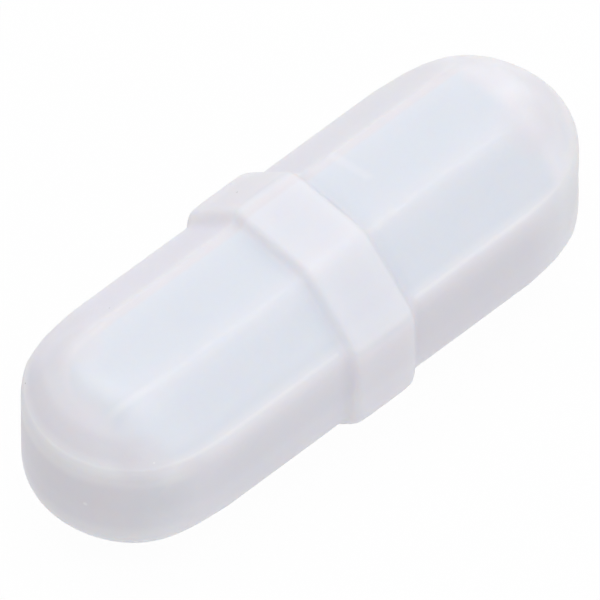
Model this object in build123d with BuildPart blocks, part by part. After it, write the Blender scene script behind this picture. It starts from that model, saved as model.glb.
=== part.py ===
"""Octagonal magnetic stir bar: a moulded jacket with a pivot ring, sealed round a bar magnet.

The bar lies along X and rests on the lower flat of its pivot ring. The origin is the
middle of that flat, and +Z points up. All sizes are in millimetres.
"""

import os

from build123d import *

os.makedirs("parts", exist_ok=True)

# The bar's octagonal body
body_length = 30.0
body_width = 10.3
body_height = 9.9
top_flat_width = 4.3
side_wall_height = 4.4
ridge_radius = 0.4
rim_radius = 1.3

# The domed ends: half ovals in plan, with a round shoulder and then a flatter arc down to the rim
domed_end_length = 5.66
shoulder_start = 2.4
shoulder_radius = 1.4
shoulder_angle = 44
shoulder_lead_in = 0.01

# The pivot ring round the middle
ring_width = 3.5
ring_rise = 0.5
ring_edge_radius = 0.14
ring_foot_radius = 0.34

# The jacket's walls round the magnet, and the magnet's fit in them
jacket_side_wall = 1.52
jacket_end_wall = 2.72
magnet_chamfer = 0.4
magnet_clearance = 0.03

# Places that follow from the sizes above
half_length = body_length / 2
half_width = body_width / 2
half_height = body_height / 2
half_wall = side_wall_height / 2
half_flat = top_flat_width / 2
axis_height = half_height + ring_rise
end_centre = half_length - domed_end_length
cavity_length = body_length - 2 * jacket_end_wall
cavity_radius = half_height - jacket_side_wall
magnet_length = cavity_length - 2 * magnet_clearance
magnet_radius = cavity_radius - magnet_clearance


def section_plane(along):
    """The plane across the bar at a distance from its middle, with its origin on the bar's axis."""
    return Plane(origin=(along, 0, axis_height), x_dir=(0, 1, 0), z_dir=(1, 0, 0))


# The section across the bar, with rounded rims at the side walls and soft ridges beside the flats
with BuildSketch(section_plane(0)) as body_section:
    with BuildLine():
        near_side = Polyline(
            (half_flat, half_height),
            (half_width, half_wall),
            (half_width, -half_wall),
            (half_flat, -half_height),
        )
        mirror(near_side, about=Plane.YZ)
        Line((-half_flat, half_height), (half_flat, half_height))
        Line((-half_flat, -half_height), (half_flat, -half_height))
    make_face()
    wall_columns = body_section.vertices().group_by(Axis.X)
    fillet(wall_columns[0] + wall_columns[-1], rim_radius)
    flat_rows = body_section.vertices().group_by(Axis.Y)
    fillet(flat_rows[0] + flat_rows[-1], ridge_radius)

# What an end's cutter takes away: all outside the profile of shoulder, dome, rim and wall.
# The rim is as round as the body's, so that it runs on round the end.
# The shoulder starts a hair above the flat, so that the cut crosses the flat cleanly.
with BuildSketch(section_plane(0)) as end_waste:
    with BuildLine():
        shoulder_top = (-shoulder_start, half_height + shoulder_lead_in)
        shoulder = JernArc(shoulder_top, (-1, 0), shoulder_radius, shoulder_angle)
        dome = TangentArc(shoulder @ 1, (-half_width, half_wall), tangent=shoulder % 1)
        Polyline(
            dome @ 1,
            (-half_width, 0),
            (-body_width, 0),
            (-body_width, body_height),
            (-shoulder_start, body_height),
            shoulder_top,
        )
    make_face()
    mirror(about=Plane.XZ)
    wall_ends = end_waste.vertices().sort_by_distance(dome @ 1)[:1]
    wall_ends += end_waste.vertices().sort_by_distance((-half_width, -half_wall))[:1]
    fillet(wall_ends, rim_radius)

# Half a turn of that waste, drawn out along the bar so that the end becomes a half oval in plan
with BuildPart() as end_cutter:
    revolve(end_waste.sketch, axis=Axis.Z, revolution_arc=180)
    scale(by=(domed_end_length / half_width, 1, 1))

# The magnet: a plain rod with chamfered ends
with BuildPart() as magnet_core:
    with BuildSketch(section_plane(-magnet_length / 2)):
        Circle(magnet_radius)
    extrude(amount=magnet_length)
    chamfer(magnet_core.edges().filter_by(GeomType.CIRCLE), magnet_chamfer)

# The jacket: the body from end to end, the pivot ring, and the sealed cavity round the magnet
with BuildPart() as jacket:
    extrude(body_section.sketch, amount=half_length)
    add(end_cutter.part.moved(Location((end_centre, 0, 0))), mode=Mode.SUBTRACT)
    mirror(about=Plane.YZ)
    with BuildSketch(section_plane(-ring_width / 2)):
        add(body_section.sketch_local)
        offset(amount=ring_rise)
    extrude(amount=ring_width)
    ring_sides = jacket.faces().filter_by(Axis.X).sort_by(SortBy.AREA)[-2:]
    foot_edges = [edge for side in ring_sides for wire in side.inner_wires() for edge in wire.edges()]
    outer_edges = [edge for side in ring_sides for edge in side.outer_wire().edges()]
    fillet(outer_edges, ring_edge_radius)
    fillet(foot_edges, ring_foot_radius)
    with BuildSketch(section_plane(-cavity_length / 2)):
        Circle(cavity_radius)
    extrude(amount=cavity_length, mode=Mode.SUBTRACT)

for piece, name in ((jacket, "jacket"), (magnet_core, "magnet_core")):
    piece.part.label = name
    export_step(piece.part, f"parts/{name}.step")
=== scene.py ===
"""Looks of the octagonal magnetic stir bar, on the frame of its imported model.

Lengths are in metres. The bar lies along X on the lower flat of its pivot ring, and +Z points up.
"""

import math

import bpy
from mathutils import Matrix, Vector


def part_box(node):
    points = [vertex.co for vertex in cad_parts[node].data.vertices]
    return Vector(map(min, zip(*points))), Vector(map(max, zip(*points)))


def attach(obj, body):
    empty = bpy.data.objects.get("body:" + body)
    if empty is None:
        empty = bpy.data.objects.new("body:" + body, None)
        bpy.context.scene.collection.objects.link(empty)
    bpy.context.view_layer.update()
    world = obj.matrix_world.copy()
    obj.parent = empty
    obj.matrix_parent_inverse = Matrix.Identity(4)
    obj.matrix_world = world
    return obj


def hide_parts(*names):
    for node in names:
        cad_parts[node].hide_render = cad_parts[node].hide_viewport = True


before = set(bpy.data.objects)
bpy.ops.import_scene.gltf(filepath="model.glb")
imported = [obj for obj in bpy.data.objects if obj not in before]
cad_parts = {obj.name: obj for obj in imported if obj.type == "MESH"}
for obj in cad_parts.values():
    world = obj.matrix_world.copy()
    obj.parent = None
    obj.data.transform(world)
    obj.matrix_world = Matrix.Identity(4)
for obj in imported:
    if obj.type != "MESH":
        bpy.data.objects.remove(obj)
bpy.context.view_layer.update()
bpy.ops.object.select_all(action="DESELECT")

# The magnet: a ground rod of cast alloy, cut from bar stock, with its ends chamfered.
# It is sealed inside the jacket, so that it only shows as a bluish tint through the plastic.
MM = 0.001
alloy_dark = (0.24, 0.24, 0.26, 1)
alloy_light = (0.36, 0.36, 0.37, 1)
alloy_smooth, alloy_rough = 0.35, 0.55
grinding_scale = 400
grinding_detail = 4
grinding_stretch = (1, 12, 12)
grinding_strength = 0.2
grinding_depth = 0.01 * MM

magnet_finish = bpy.data.materials.new("ground_magnet_alloy")
magnet_finish.use_nodes = True
nodes, links = magnet_finish.node_tree.nodes, magnet_finish.node_tree.links
magnet_shader = nodes["Principled BSDF"]
magnet_shader.inputs["Metallic"].default_value = 1
place = nodes.new("ShaderNodeTexCoord")
along = nodes.new("ShaderNodeMapping")
along.inputs["Scale"].default_value = grinding_stretch
links.new(place.outputs["Object"], along.inputs["Vector"])
grinding = nodes.new("ShaderNodeTexNoise")
grinding.inputs["Scale"].default_value = grinding_scale
grinding.inputs["Detail"].default_value = grinding_detail
links.new(along.outputs["Vector"], grinding.inputs["Vector"])
alloy_colour = nodes.new("ShaderNodeValToRGB")
alloy_colour.color_ramp.elements[0].color = alloy_dark
alloy_colour.color_ramp.elements[1].color = alloy_light
links.new(grinding.outputs["Fac"], alloy_colour.inputs["Fac"])
links.new(alloy_colour.outputs["Color"], magnet_shader.inputs["Base Color"])
alloy_roughness = nodes.new("ShaderNodeMapRange")
alloy_roughness.inputs["To Min"].default_value = alloy_smooth
alloy_roughness.inputs["To Max"].default_value = alloy_rough
links.new(grinding.outputs["Fac"], alloy_roughness.inputs["Value"])
links.new(alloy_roughness.outputs["Result"], magnet_shader.inputs["Roughness"])
grinding_marks = nodes.new("ShaderNodeBump")
grinding_marks.inputs["Strength"].default_value = grinding_strength
grinding_marks.inputs["Distance"].default_value = grinding_depth
links.new(grinding.outputs["Fac"], grinding_marks.inputs["Height"])
links.new(grinding_marks.outputs["Normal"], magnet_shader.inputs["Normal"])
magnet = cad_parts["magnet_core"]
magnet.data.materials.clear()
magnet.data.materials.append(magnet_finish)

# The jacket: white fluoropolymer, pressed and sintered as one piece round the magnet.
# It is satin and lets a little light in, so the magnet tints the facets that it lies close under,
# while the rims and the domes, with more plastic under them, stay paler.
magnet_low, magnet_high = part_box("magnet_core")
axis_height = (magnet_low.z + magnet_high.z) / 2
jacket_white = (0.84, 0.825, 0.882, 1)
magnet_tint = (0.741, 0.769, 0.835, 1)
# Pale white for painted highlights, and for the real pale scuff and specks
highlight_and_speck_white = (0.9, 0.888, 0.92, 1)
# Painted shade grey, for the darker places and the darker soft patches
painted_shade_grey = (0.76, 0.745, 0.795, 1)
# Painted light for the near facets
painted_light_tint = (0.79, 0.815, 0.885, 1)
# Warm painted shade for the left end
warm_painted_shade = (0.8, 0.762, 0.79, 1)
# Painted light for the right end
painted_light_white = (0.93, 0.89, 0.945, 1)
# Painted shade for the far facets, toward the left
painted_shade_violet = (0.824, 0.801, 0.884, 1)
speck_grey = (0.42, 0.41, 0.42, 1)
scatter_depth = 2.6 * MM
scatter_colour = (1, 0.8, 0.65)
satin, duller_satin = 0.38, 0.52

jacket_finish = bpy.data.materials.new("pressed_white_fluoropolymer")
jacket_finish.use_nodes = True
nodes, links = jacket_finish.node_tree.nodes, jacket_finish.node_tree.links
jacket_shader = nodes["Principled BSDF"]
jacket_shader.inputs["Subsurface Weight"].default_value = 1
jacket_shader.inputs["Subsurface Radius"].default_value = scatter_colour
jacket_shader.inputs["Subsurface Scale"].default_value = scatter_depth


def put(socket, value):
    """Feed an input of the jacket's nodes from another node's output, or set it to a plain value."""
    if isinstance(value, bpy.types.NodeSocket):
        links.new(value, socket)
    else:
        socket.default_value = value


def worked_out(operation, first, second=0):
    """A number worked out from one or two others."""
    sum_node = nodes.new("ShaderNodeMath")
    sum_node.operation = operation
    put(sum_node.inputs[0], first)
    put(sum_node.inputs[1], second)
    return sum_node.outputs[0]


def together(first, *others):
    """Shares multiplied with one another."""
    for other in others:
        first = worked_out("MULTIPLY", first, other)
    return first


def apart(value, middle):
    """How far a value is from a middle one, on either side."""
    return worked_out("ABSOLUTE", worked_out("SUBTRACT", value, middle))


def fading(value, pair):
    """A share that is 1 at the pair's first number and falls smoothly to 0 at its second."""
    full, gone = pair
    fall = nodes.new("ShaderNodeMapRange")
    fall.interpolation_type = "SMOOTHSTEP"
    put(fall.inputs["Value"], value)
    fall.inputs["From Min"].default_value = gone
    fall.inputs["From Max"].default_value = full
    return fall.outputs["Result"]


def distance(place_socket, point):
    """Millimetres between a place and a point, both measured from the middle of the bar."""
    measure = nodes.new("ShaderNodeVectorMath")
    measure.operation = "DISTANCE"
    links.new(place_socket, measure.inputs[0])
    measure.inputs[1].default_value = point
    return measure.outputs["Value"]


def tinted(share, under, over):
    """One colour laid over another, by a share that changes over the surface."""
    mix = nodes.new("ShaderNodeMix")
    mix.data_type = "RGBA"
    put(mix.inputs["Factor"], share)
    put(mix.inputs[6], under)
    put(mix.inputs[7], over)
    return mix.outputs[2]


# Millimetres along, across and above the middle of the bar
place = nodes.new("ShaderNodeTexCoord")
from_middle = nodes.new("ShaderNodeMapping")
from_middle.inputs["Scale"].default_value = (1 / MM, 1 / MM, 1 / MM)
from_middle.inputs["Location"].default_value = (0, 0, -axis_height / MM)
links.new(place.outputs["Object"], from_middle.inputs["Vector"])
split = nodes.new("ShaderNodeSeparateXYZ")
links.new(from_middle.outputs["Vector"], split.inputs["Vector"])
along_bar, across_bar, above_bar = split.outputs
end_reach = worked_out("ABSOLUTE", along_bar)
rim_height = worked_out("ABSOLUTE", above_bar)

# The tint over the magnet: it fills the top and the near facets up to a slanting plane that leaves out
# the far facets and the walls. Below the near ridge its left end is drawn in, and it is fainter over the
# pivot ring, where the plastic is thicker. Each pair says where a share is full and where it is gone.
tint_plane_height, tint_plane_slope, tint_plane_edge = 4.22, 0.353, (0.15, -0.2)
tint_middle, tint_end = -0.9, (11.7, 12.6)
drawn_below, drawn_part, draw = -2.1, (-4, 4), 0.5
ring_cover, ring_loss = (2.0, 2.3), 0.35
tint_plane = worked_out("ADD", together(across_bar, tint_plane_slope), tint_plane_height)
thin_plastic = fading(worked_out("SUBTRACT", above_bar, tint_plane), tint_plane_edge)
past_ridge = worked_out("MAXIMUM", worked_out("SUBTRACT", drawn_below, across_bar), 0)
drawn_in = together(past_ridge, fading(along_bar, drawn_part), draw)
tint_reach = worked_out("ADD", apart(along_bar, tint_middle), drawn_in)
over_magnet = fading(tint_reach, tint_end)
kept_on_ring = worked_out("SUBTRACT", 1, together(fading(end_reach, ring_cover), ring_loss))
tint_share = together(thin_plastic, over_magnet, kept_on_ring)

# Painted shade, greyer places on the plastic: the walls above the middle, and more so toward the right, the
# left end, the pivot ring, the ridges beside the top, and the tip of the left dome above its rim
wall_top = (2.1, 2.5)
wall_middle, wall_reach, wall_part, wall_grey = 1.0, (0.9, 1.9), (9.5, 12), 0.27
right_start, right_part, right_grey = (5, -4), (8.5, 11), 0.58
left_part, left_grey = (-13.5, -12.5), 0.25
ring_foot, ring_edge, ring_shoulder, ring_grey = (2.3, 1.9), (1.6, 2.0), (3.6, 3.2), 0.22
body_end, dome_start = 10.5, 12
top_height = (4.6, 4.4)
far_ridge, far_ridge_width = 1.93, (0.1, 0.36)
near_ridge, near_ridge_width, near_ridge_grey = -2.0, (0.3, 0.8), 0.22
tip_height, tip_width, tip_part, tip_grey = 3.2, (0.2, 0.7), (-13.4, -12.2), 0.62
on_wall = fading(above_bar, wall_top)
off_ring = fading(end_reach, ring_foot)
on_body = fading(end_reach, (body_end, dome_start))
on_dome = fading(end_reach, (dome_start, body_end))
on_top = fading(above_bar, top_height)
wall_line = fading(apart(above_bar, wall_middle), wall_reach)
wall_share = together(wall_line, fading(along_bar, wall_part), wall_grey)
right_share = together(
    on_wall, fading(along_bar, right_start), fading(along_bar, right_part), off_ring, right_grey
)
left_share = together(on_wall, fading(along_bar, left_part), left_grey)
ring_share = together(fading(end_reach, ring_edge), fading(above_bar, ring_shoulder), ring_grey)
far_ridge_share = together(fading(apart(across_bar, far_ridge), far_ridge_width), on_top, on_body)
near_line = fading(apart(across_bar, near_ridge), near_ridge_width)
near_ridge_share = together(near_line, on_top, on_body, near_ridge_grey)
tip_line = fading(apart(rim_height, tip_height), tip_width)
tip_share = together(tip_line, fading(along_bar, tip_part), tip_grey)

# Painted light and shade: the far facets greyer and more violet toward the left as painted shade, the near
# facets paler and most so on the left as painted light, the wall of the right end paler as painted light,
# and a painted highlight along the rims, in a wider band round the domes
far_edge, violet_part = (2.7, 2.2), (-2, 12)
near_middle, near_width, near_left, near_gain, near_least = -3.2, (0.8, 1.4), (-2, 2), 0.4, 0.2
end_height, end_part, end_strength = (2.6, 3.4), (12.4, 10.6), 0.95
rim_middle, rim_width, rim_strength = 2.6, (0, 0.3), 0.25
band_middle, band_width, band_strength = 2.05, (0.3, 0.9), 0.6
far_share = together(fading(across_bar, far_edge), fading(along_bar, violet_part), off_ring)
near_strength = worked_out("ADD", together(fading(along_bar, near_left), near_gain), near_least)
near_share = together(fading(apart(across_bar, near_middle), near_width), over_magnet, near_strength)
end_share = together(fading(above_bar, end_height), fading(along_bar, end_part), end_strength)
painted_rim_highlight = together(fading(apart(rim_height, rim_middle), rim_width), on_body, rim_strength)
painted_band_light = together(fading(apart(rim_height, band_middle), band_width), on_dome, band_strength)

# A painted highlight on the ridges of the left dome, which run on as faint pale streaks that draw together
# toward the tip
streak_place, flat_end, drawing_in = 1.97, 10, 0.04
streak_width, streak_height, streak_strength = (0.03, 0.28), (4.3, 3.9), 0.3
streak_start, streak_end = (-11.2, -9.6), (-12.5, -13.3)
past_flat = worked_out("MAXIMUM", worked_out("SUBTRACT", end_reach, flat_end), 0)
narrowing = together(past_flat, past_flat, drawing_in)
streak_line = worked_out("ADD", worked_out("ABSOLUTE", across_bar), narrowing)
painted_ridge_highlight = together(
    fading(apart(streak_line, streak_place), streak_width),
    fading(rim_height, streak_height),
    fading(along_bar, streak_start),
    fading(along_bar, streak_end),
    streak_strength,
)

# The mould's parting line: a fine raised line round each rim of the body, but not over the pivot ring. Its
# paleness is a painted highlight
line_height, line_width, line_start, line_strength = 2.47, (0.02, 0.12), (2.4, 2.2), 0.5
parting_line = together(fading(apart(rim_height, line_height), line_width), fading(end_reach, line_start))

# A soft pale scuff across the top by the pivot ring, a little askew
scuff_place, scuff_slant, scuff_width = 4.1, 0.155, (0.05, 0.35)
scuff_middle, scuff_reach, scuff_height, scuff_strength = 1.05, (0.9, 1.3), (4.9, 4.8), 0.2
scuff_line = worked_out("ADD", together(across_bar, scuff_slant), along_bar)
scuff = together(
    fading(apart(scuff_line, scuff_place), scuff_width),
    fading(above_bar, scuff_height),
    fading(apart(across_bar, scuff_middle), scuff_reach),
    scuff_strength,
)

base = tinted(tint_share, jacket_white, magnet_tint)
# Painted shade on the far facets, then painted light on the near facets
base = tinted(far_share, base, painted_shade_violet)
base = tinted(near_share, base, painted_light_tint)
# Painted shade: the greyer places are laid on in the painted shade grey
painted_shades = (wall_share, right_share, left_share, ring_share, far_ridge_share, near_ridge_share, tip_share)
for share in painted_shades:
    base = tinted(share, base, painted_shade_grey)
# Painted light on the wall of the right end
base = tinted(end_share, base, painted_light_white)
# Painted highlights along the rims, round the domes, on the ridge streaks and on the parting line, then the
# real pale scuff
for share in (painted_rim_highlight, painted_band_light, painted_ridge_highlight, together(parting_line, line_strength), scuff):
    base = tinted(share, base, highlight_and_speck_white)

# Soft patches of painted shade and painted light on the plastic: places, reaches, strengths and colours
shading_patch_core = 0.8
for point, reach, strength, colour in (
    ((11.6, -2.3, 4.5), 2.0, 0.6, painted_shade_grey),
    ((12.2, 1.0, 4.8), 1.7, 0.4, painted_shade_grey),
    ((-11.8, 2.1, 4.6), 1.8, 0.6, painted_shade_grey),
    ((-11, 4.5, 2.9), 2.6, 0.5, painted_shade_grey),
    ((-12.9, -3.7, 2.9), 1.6, 0.5, painted_shade_grey),
    ((-13.6, -3.4, 0), 2.8, 0.5, warm_painted_shade),
    ((13, 3.2, 3.3), 2.4, 0.9, painted_light_white),
    ((13.7, 1.4, 3.6), 2.2, 0.9, painted_light_white),
):
    shading_patch = fading(distance(from_middle.outputs["Vector"], point), (shading_patch_core, reach))
    base = tinted(together(shading_patch, strength), base, colour)

# The few specks pressed into the plastic, dark ones and then pale ones: places, radii, the share of each
# that is solid, and colours
for point, radius, solid, colour in (
    ((-13.43, 3.27, 2.56), 0.05, 0.4, speck_grey),
    ((-8.87, 2.75, 4.4), 0.05, 0.4, speck_grey),
    ((-0.16, 3.92, 4.0), 0.06, 0.4, speck_grey),
    ((-14.62, -1.85, -0.17), 0.14, 0.3, highlight_and_speck_white),
    ((-12.43, -3.93, 2.75), 0.07, 0.3, highlight_and_speck_white),
    ((-11.25, 4.25, 3.03), 0.07, 0.3, highlight_and_speck_white),
):
    speck = fading(distance(from_middle.outputs["Vector"], point), (radius * solid, radius))
    base = tinted(speck, base, colour)
links.new(base, jacket_shader.inputs["Base Color"])

# The pressed surface: slow waves from the mould and a fine grain
wave_scale, wave_detail, wave_height = 0.35, 2, 0.06
grain_scale, grain_detail, grain_height = 5, 5, 0.006
line_rise = 0.008
waves = nodes.new("ShaderNodeTexNoise")
waves.inputs["Scale"].default_value = wave_scale
waves.inputs["Detail"].default_value = wave_detail
links.new(from_middle.outputs["Vector"], waves.inputs["Vector"])
grain = nodes.new("ShaderNodeTexNoise")
grain.inputs["Scale"].default_value = grain_scale
grain.inputs["Detail"].default_value = grain_detail
links.new(from_middle.outputs["Vector"], grain.inputs["Vector"])
roughness = nodes.new("ShaderNodeMapRange")
roughness.inputs["To Min"].default_value = satin
roughness.inputs["To Max"].default_value = duller_satin
links.new(grain.outputs["Fac"], roughness.inputs["Value"])
links.new(roughness.outputs["Result"], jacket_shader.inputs["Roughness"])
relief = together(waves.outputs["Fac"], wave_height)
relief = worked_out("ADD", relief, together(grain.outputs["Fac"], grain_height))
relief = worked_out("ADD", relief, together(parting_line, line_rise))
surface = nodes.new("ShaderNodeBump")
surface.inputs["Strength"].default_value = 1
surface.inputs["Distance"].default_value = MM
links.new(relief, surface.inputs["Height"])
links.new(surface.outputs["Normal"], jacket_shader.inputs["Normal"])

# The model's facets meet its domes in a crease, and its pivot ring has steep sides. The pressed one is
# softer, so the jacket that shows is a finely meshed copy of the model's, smoothed at those places.
# All of these are millimetres, the places from the middle of the bar.
merge_distance = 0.001
mesh_step = 0.125
crease_top, crease_foot = Vector((11.6, 2.3, 4.75)), Vector((10.7, 4.75, 2.7))
blend_reach, blend_fade = 1.7, 0.9
ring_side = 1.8
slope_reach, slope_fade = 0.95, 0.4
blend_rounds, slope_rounds, last_rounds = 200, 32, 3

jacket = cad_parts["jacket"]
jacket.select_set(True)
bpy.context.view_layer.objects.active = jacket
bpy.ops.object.duplicate()
bpy.ops.object.mode_set(mode="EDIT")
bpy.ops.mesh.select_all(action="SELECT")
bpy.ops.mesh.remove_doubles(threshold=merge_distance * MM)
bpy.ops.mesh.separate(type="LOOSE")
bpy.ops.object.mode_set(mode="OBJECT")
cavity, pressed_jacket = sorted(bpy.context.selected_objects, key=lambda shell: shell.dimensions.x)
bpy.ops.object.select_all(action="DESELECT")
pressed_jacket.select_set(True)
bpy.context.view_layer.objects.active = pressed_jacket
remeshed = pressed_jacket.modifiers.new("remeshed", "REMESH")
remeshed.mode = "VOXEL"
remeshed.voxel_size = mesh_step * MM
remeshed.use_smooth_shade = True
bpy.ops.object.modifier_apply(modifier=remeshed.name)

crease = crease_foot - crease_top
blend_zone = pressed_jacket.vertex_groups.new(name="blend_zone")
slope_zone = pressed_jacket.vertex_groups.new(name="slope_zone")
for vertex in pressed_jacket.data.vertices:
    spot = Vector((abs(vertex.co.x), abs(vertex.co.y), abs(vertex.co.z - axis_height))) / MM
    down_crease = min(max((spot - crease_top).dot(crease) / crease.length_squared, 0), 1)
    from_crease = (spot - crease_top - crease * down_crease).length
    from_side = abs(spot.x - ring_side)
    if from_crease < blend_reach:
        blend_zone.add([vertex.index], min((blend_reach - from_crease) / blend_fade, 1), "REPLACE")
    if from_side < slope_reach:
        slope_zone.add([vertex.index], min((slope_reach - from_side) / slope_fade, 1), "REPLACE")
for zone, rounds in ((blend_zone.name, blend_rounds), (slope_zone.name, slope_rounds), ("", last_rounds)):
    smoothed = pressed_jacket.modifiers.new("smoothed", "SMOOTH")
    smoothed.vertex_group = zone
    smoothed.iterations = rounds
    bpy.ops.object.modifier_apply(modifier=smoothed.name)
cavity.select_set(True)
bpy.ops.object.join()
bpy.ops.object.select_all(action="DESELECT")
pressed_jacket.name = "pressed_jacket"
pressed_jacket.vertex_groups.clear()
pressed_jacket.data.materials.clear()
pressed_jacket.data.materials.append(jacket_finish)
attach(pressed_jacket, "root")
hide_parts("jacket")

# The table: a plain pale sweep that the bar was laid on, so bright that it shows white.
# It keeps a trace of the bar's shadow.
table_size = 2.0
table_colour = (0.85, 0.85, 0.86, 1)
table_roughness = 0.8
white_share = 0.97


def seen_plainly(nodes, links):
    """1 where a surface is seen by the camera, or in gloss or through glass, and 0 where it only lights."""
    rays = nodes.new("ShaderNodeLightPath")
    seen = rays.outputs["Is Camera Ray"]
    for ray in ("Is Glossy Ray", "Is Transmission Ray"):
        either = nodes.new("ShaderNodeMath")
        either.operation = "MAXIMUM"
        links.new(seen, either.inputs[0])
        links.new(rays.outputs[ray], either.inputs[1])
        seen = either.outputs[0]
    return seen


bpy.ops.mesh.primitive_plane_add(size=table_size, location=(0, 0, 0))
table_top = bpy.context.object
table_top.name = "table_top"
table_finish = bpy.data.materials.new("white_table")
table_finish.use_nodes = True
nodes, links = table_finish.node_tree.nodes, table_finish.node_tree.links
table_shader = nodes["Principled BSDF"]
table_shader.inputs["Base Color"].default_value = table_colour
table_shader.inputs["Roughness"].default_value = table_roughness
glow = nodes.new("ShaderNodeEmission")
glow.inputs["Strength"].default_value = 1
white = nodes.new("ShaderNodeMath")
white.operation = "MULTIPLY"
white.inputs[1].default_value = white_share
links.new(seen_plainly(nodes, links), white.inputs[0])
blend = nodes.new("ShaderNodeMixShader")
links.new(white.outputs[0], blend.inputs["Fac"])
links.new(table_shader.outputs["BSDF"], blend.inputs[1])
links.new(glow.outputs["Emission"], blend.inputs[2])
links.new(blend.outputs["Shader"], nodes["Material Output"].inputs["Surface"])
table_top.data.materials.append(table_finish)

# The room: a white tent that lights the bar a little from all sides, and shows as a white backdrop.
tent_colour = (1, 1, 1, 1)
tent_strength = 0.405
room = bpy.data.worlds.new("light_tent")
bpy.context.scene.world = room
room.use_nodes = True
nodes, links = room.node_tree.nodes, room.node_tree.links
tent = nodes["Background"]
tent.inputs["Color"].default_value = tent_colour
tent.inputs["Strength"].default_value = tent_strength
backdrop = nodes.new("ShaderNodeBackground")
backdrop.inputs["Color"].default_value = tent_colour
backdrop.inputs["Strength"].default_value = 1
choice = nodes.new("ShaderNodeMixShader")
links.new(seen_plainly(nodes, links), choice.inputs["Fac"])
links.new(tent.outputs["Background"], choice.inputs[1])
links.new(backdrop.outputs["Background"], choice.inputs[2])
links.new(choice.outputs["Shader"], nodes["World Output"].inputs["Surface"])

# The lamps: a strong wide soft box above the bar, and weaker ones behind its right end, behind it and
# in front. Nothing stands at the left end, which is the dimmest. Names, places and watts.
lamp_size = 0.6
for name, place, power in (
    ("soft_box_above", (0, 0, 0.6), 1.87),
    ("soft_box_right", (0.3, 0.42, 0.34), 0.54),
    ("soft_box_behind", (0, 0.5, 0.42), 0.33),
    ("soft_box_in_front", (0.05, -0.5, 0.35), 0.87),
):
    lamp_data = bpy.data.lights.new(name, "AREA")
    lamp_data.size = lamp_size
    lamp_data.energy = power
    lamp = bpy.data.objects.new(name, lamp_data)
    bpy.context.scene.collection.objects.link(lamp)
    lamp.location = place
    lamp.rotation_mode = "QUATERNION"
    lamp.rotation_quaternion = Vector(place).to_track_quat("Z", "Y")

# The camera: far off with a long lens, turned and raised as the photographer's was.
# The photo is square, and its scale and the bar's place in it are in its pixels.
photo_width = 600
pixels_per_mm = 22.78
bar_right, bar_up = 0.86, 1.9
camera_elevation = math.radians(51.5)
camera_turn = math.radians(43.09)
camera_lens = 1600
frame_width = photo_width / pixels_per_mm * MM
camera_data = bpy.data.cameras.new("camera")
camera_data.lens = camera_lens
camera = bpy.data.objects.new("camera", camera_data)
bpy.context.scene.collection.objects.link(camera)
bpy.context.scene.camera = camera
toward_camera = Vector(
    (
        -math.sin(camera_turn) * math.cos(camera_elevation),
        -math.cos(camera_turn) * math.cos(camera_elevation),
        math.sin(camera_elevation),
    )
)
camera_distance = frame_width * camera_lens / camera_data.sensor_width
camera.rotation_mode = "QUATERNION"
camera.rotation_quaternion = toward_camera.to_track_quat("Z", "Y")
camera.location = Vector((0, 0, axis_height)) + toward_camera * camera_distance
camera_data.shift_x = -bar_right / photo_width
camera_data.shift_y = -bar_up / photo_width
camera_data.clip_end = camera_distance * 2

bpy.context.scene.view_settings.view_transform = "Standard"
